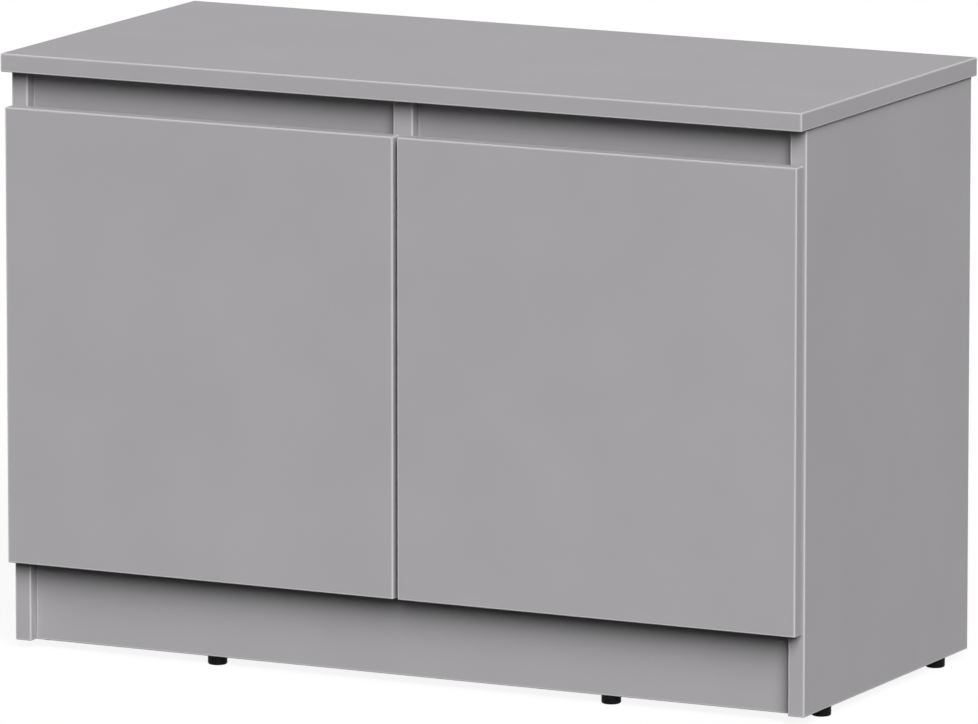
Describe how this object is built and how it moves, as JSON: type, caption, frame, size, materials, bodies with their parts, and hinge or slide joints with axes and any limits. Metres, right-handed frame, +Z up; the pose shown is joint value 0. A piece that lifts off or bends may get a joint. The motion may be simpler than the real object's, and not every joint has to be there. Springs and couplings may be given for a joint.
{
  "type": "two-door cabinet",
  "caption": "Low wide cabinet in grey board with a divided carcase, a shelf in each bay, and overlay doors on concealed hinges, pulled by a gap under the top.",
  "frame": {"origin": "on the floor, under the middle of the closed cabinet's box", "axes": "+X to the right seen from the front, +Y to the back, so that the doors face -Y, and +Z up"},
  "size_m": [0.9, 0.42, 0.62],
  "materials": {
    "melamine_board": "plain grey melamine, fine matt texture, edged to match",
    "hardboard": "thin hardboard, lacquered grey inside and bare behind",
    "plated_steel": "nickel-plated steel",
    "zinc_casting": "bare zinc casting",
    "beech": "plain turned beech",
    "glide_plastic": "black moulded plastic",
    "bumper_rubber": "soft clear bumper"
  },
  "bodies": {
    "carcase": {"back_panel_screws": "plated_steel", "bottom_cam_bolts": "plated_steel", "bottom_cam_locks": "zinc_casting", "bottom_dowels": "beech", "bottom_panel": "melamine_board", "centre_divider": "melamine_board", "divider_screws": "plated_steel", "front_plinth": "melamine_board", "front_plinth_glides": "glide_plastic", "glide_nails": "plated_steel", "hinge_arm_screws": "plated_steel", "hinge_plate_screws": "plated_steel", "left_back_panel": "hardboard", "left_lower_hinge_arm": "plated_steel", "left_lower_hinge_plate": "plated_steel", "left_shelf": "melamine_board", "left_shelf_pins": "plated_steel", "left_side_glides": "glide_plastic", "left_side_panel": "melamine_board", "left_upper_hinge_arm": "plated_steel", "left_upper_hinge_plate": "plated_steel", "left_upper_rail": "melamine_board", "plinth_cam_bolts": "plated_steel", "plinth_cam_locks": "zinc_casting", "plinth_dowels": "beech", "rail_cam_bolts": "plated_steel", "rail_cam_locks": "zinc_casting", "rail_dowels": "beech", "rear_plinth": "melamine_board", "rear_plinth_glides": "glide_plastic", "right_back_panel": "hardboard", "right_lower_hinge_arm": "plated_steel", "right_lower_hinge_plate": "plated_steel", "right_shelf": "melamine_board", "right_shelf_pins": "plated_steel", "right_side_glides": "glide_plastic", "right_side_panel": "melamine_board", "right_upper_hinge_arm": "plated_steel", "right_upper_hinge_plate": "plated_steel", "right_upper_rail": "melamine_board", "top_cam_bolts": "plated_steel", "top_cam_locks": "zinc_casting", "top_dowels": "beech", "top_panel": "melamine_board"},
    "left_door": {"left_cup_screws": "plated_steel", "left_door": "melamine_board", "left_door_bumpers": "bumper_rubber", "left_lower_hinge_cup": "plated_steel", "left_lower_hinge_pin": "plated_steel", "left_upper_hinge_cup": "plated_steel", "left_upper_hinge_pin": "plated_steel"},
    "right_door": {"right_cup_screws": "plated_steel", "right_door": "melamine_board", "right_door_bumpers": "bumper_rubber", "right_lower_hinge_cup": "plated_steel", "right_lower_hinge_pin": "plated_steel", "right_upper_hinge_cup": "plated_steel", "right_upper_hinge_pin": "plated_steel"}
  },
  "joints": [
    {"name": "left_door_hinge", "type": "hinge", "parent": "carcase", "child": "left_door", "pos_m": [-0.4387, -0.203, 0.329], "axis": [0, 0, -1], "range_deg": [0, 95]},
    {"name": "right_door_hinge", "type": "hinge", "parent": "carcase", "child": "right_door", "pos_m": [0.4387, -0.203, 0.329], "axis": [0, 0, 1], "range_deg": [0, 95]}
  ]
}
